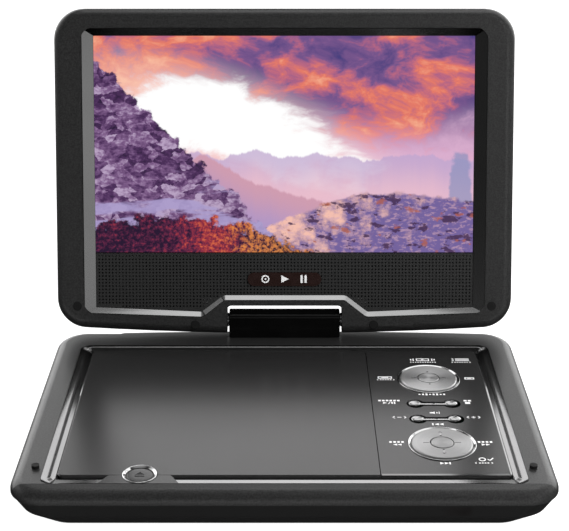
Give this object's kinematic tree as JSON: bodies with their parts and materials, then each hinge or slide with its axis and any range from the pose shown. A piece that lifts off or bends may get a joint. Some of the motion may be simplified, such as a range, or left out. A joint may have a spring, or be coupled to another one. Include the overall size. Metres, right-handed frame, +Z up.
{
  "type": "portable dvd player",
  "caption": "Portable disc player: base with a loading door, key panel and side ports, and a display lid on a turret that swivels and tilts.",
  "frame": {"origin": "under the middle of the open player's bounding box, on the surface it stands on", "axes": "+Z up, +Y from the front edge towards the display hinge, +X to the user's right"},
  "size_m": [0.25, 0.2243, 0.1965],
  "materials": {
    "rim_plastic": "satin, finely grained",
    "lower_plastic": "matte moulded",
    "gloss_trim": "piano gloss",
    "panel_finish": "metallic grain",
    "silver_keys": "brushed metal coat",
    "chrome_ring": "chrome coat",
    "inner_plastic": "matte",
    "rubber_black": "matte",
    "steel": "plated",
    "board_green": "solder mask",
    "chips": "matte",
    "cells": "foil under a blue wrap",
    "jack_black": "matte",
    "jack_yellow": "matte",
    "dark_window": "gloss",
    "screen_window": "gloss",
    "lcd_glass": "matte film",
    "lens_glass": "coated",
    "grille_plastic": "matte",
    "badge_gloss": "gloss",
    "speaker_body": "magnet and basket"
  },
  "bodies": {
    "base": {"base_upper_shell": "rim_plastic", "base_lower_shell": "lower_plastic", "base_screws": "steel", "rubber_feet": "rubber_black", "closing_pegs": "rubber_black", "base_trim_frame": "gloss_trim", "disc_deck": "lower_plastic", "ir_window": "dark_window", "open_button_ring": "chrome_ring", "control_panel_plate": "panel_finish", "rear_pad_bezel": "chrome_ring", "front_pad_bezel": "chrome_ring", "key_board": "board_green", "tact_switches": "chips", "main_board": "board_green", "board_parts": "chips", "battery_pack": "cells", "headphone_jacks": "jack_black", "av_jack": "jack_yellow", "dc_jack": "jack_black", "usb_port": "steel", "card_slot": "steel", "loader_chassis": "inner_plastic", "loader_dampers": "rubber_black", "guide_rods": "steel", "spindle_motor": "steel", "sled_motor": "steel", "swivel_plate": "steel"},
    "door": {"disc_door": "panel_finish", "door_hinge_pins": "steel"},
    "button": {"open_button": "silver_keys"},
    "latch": {"door_latch": "inner_plastic"},
    "rear_gimbal": {"rear_pad_carrier": "inner_plastic"},
    "rear_disc": {"rear_pad_cap": "silver_keys"},
    "rear_centre": {"rear_pad_centre": "silver_keys"},
    "front_gimbal": {"front_pad_carrier": "inner_plastic"},
    "front_disc": {"front_pad_cap": "silver_keys"},
    "front_centre": {"front_pad_centre": "silver_keys"},
    "play_keys": {"play_stop_rocker": "silver_keys"},
    "volume_keys": {"volume_rocker": "silver_keys"},
    "power_knob": {"power_switch": "inner_plastic"},
    "disc_table": {"turntable": "inner_plastic"},
    "sled": {"pickup_sled": "inner_plastic"},
    "lens": {"objective_lens": "lens_glass"},
    "screw": {"lead_screw": "steel"},
    "turret": {"turret_body": "gloss_trim", "swivel_shaft": "steel", "swivel_nut": "steel"},
    "lid": {"hinge_pins": "steel", "hinge_brackets": "steel", "lid_front_bezel": "rim_plastic", "lid_rear_cover": "rim_plastic", "lid_screw_plugs": "rubber_black", "lid_bevel_frame": "gloss_trim", "display_glass": "screen_window", "lcd_module": "lcd_glass", "grille_panel": "grille_plastic", "badge_plate": "badge_gloss", "speakers": "speaker_body"}
  },
  "joints": [
    {"name": "display_swivel", "type": "hinge", "parent": "base", "child": "turret", "pos_m": [0, 0.058, 0.0329], "axis": [0, 0, 1], "range_deg": [-90, 180]},
    {"name": "lid_tilt", "type": "hinge", "parent": "turret", "child": "lid", "pos_m": [0, 0.058, 0.0329], "axis": [1, 0, 0], "range_deg": [-73.3, 106.7]},
    {"name": "door_lift", "type": "hinge", "parent": "base", "child": "door", "pos_m": [0, 0.0363, 0.0208], "axis": [-1, 0, 0], "range_deg": [0, 60]},
    {"name": "open_press", "type": "slide", "parent": "base", "child": "button", "axis": [0, 0, -1], "range_m": [0, 0.0015], "stiffness_N_per_m": 300, "springref_m": -0.001},
    {"name": "latch_slide", "type": "slide", "parent": "base", "child": "latch", "axis": [0, -1, 0], "range_m": [0, 0.0018]},
    {"name": "rear_pad_rock_x", "type": "hinge", "parent": "base", "child": "rear_gimbal", "pos_m": [0.075, 0.004, 0.0213], "axis": [1, 0, 0], "range_deg": [-2.5, 2.5], "stiffness_Nm_per_rad": 0.06},
    {"name": "rear_pad_rock_y", "type": "hinge", "parent": "rear_gimbal", "child": "rear_disc", "pos_m": [0.075, 0.004, 0.0213], "axis": [0, 1, 0], "range_deg": [-2.5, 2.5], "stiffness_Nm_per_rad": 0.06},
    {"name": "rear_centre_press", "type": "slide", "parent": "base", "child": "rear_centre", "axis": [0, 0, -1], "range_m": [0, 0.0006], "stiffness_N_per_m": 300, "springref_m": -0.001},
    {"name": "front_pad_rock_x", "type": "hinge", "parent": "base", "child": "front_gimbal", "pos_m": [0.075, -0.0647, 0.0213], "axis": [1, 0, 0], "range_deg": [-2.5, 2.5], "stiffness_Nm_per_rad": 0.06},
    {"name": "front_pad_rock_y", "type": "hinge", "parent": "front_gimbal", "child": "front_disc", "pos_m": [0.075, -0.0647, 0.0213], "axis": [0, 1, 0], "range_deg": [-2.5, 2.5], "stiffness_Nm_per_rad": 0.06},
    {"name": "front_centre_press", "type": "slide", "parent": "base", "child": "front_centre", "axis": [0, 0, -1], "range_m": [0, 0.0006], "stiffness_N_per_m": 300, "springref_m": -0.001},
    {"name": "play_stop_rock", "type": "hinge", "parent": "base", "child": "play_keys", "pos_m": [0.075, -0.0235, 0.0215], "axis": [0, 1, 0], "range_deg": [-4, 4], "stiffness_Nm_per_rad": 0.06},
    {"name": "volume_rock", "type": "hinge", "parent": "base", "child": "volume_keys", "pos_m": [0.075, -0.0398, 0.0215], "axis": [0, 1, 0], "range_deg": [-4, 4], "stiffness_Nm_per_rad": 0.06},
    {"name": "power_slide", "type": "slide", "parent": "base", "child": "power_knob", "axis": [0, 1, 0], "range_m": [0, 0.004]},
    {"name": "disc_spin", "type": "hinge", "parent": "base", "child": "disc_table", "pos_m": [-0.03, -0.028, 0.0172], "axis": [0, 0, 1], "continuous": true},
    {"name": "sled_travel", "type": "slide", "parent": "base", "child": "sled", "axis": [1, 0, 0], "range_m": [0, 0.034]},
    {"name": "lens_focus", "type": "slide", "parent": "sled", "child": "lens", "axis": [0, 0, 1], "range_m": [-0.0006, 0.0006], "stiffness_N_per_m": 60},
    {"name": "screw_turn", "type": "hinge", "parent": "base", "child": "screw", "pos_m": [0, -0.05, 0.0105], "axis": [1, 0, 0], "range_deg": [0, 2045]}
  ],
  "couplings": [
    {"joint": "latch_slide", "follows": "open_press", "ratio": 1.2},
    {"joint": "screw_turn", "follows": "sled_travel", "rad_per_m": 1047.2}
  ]
}
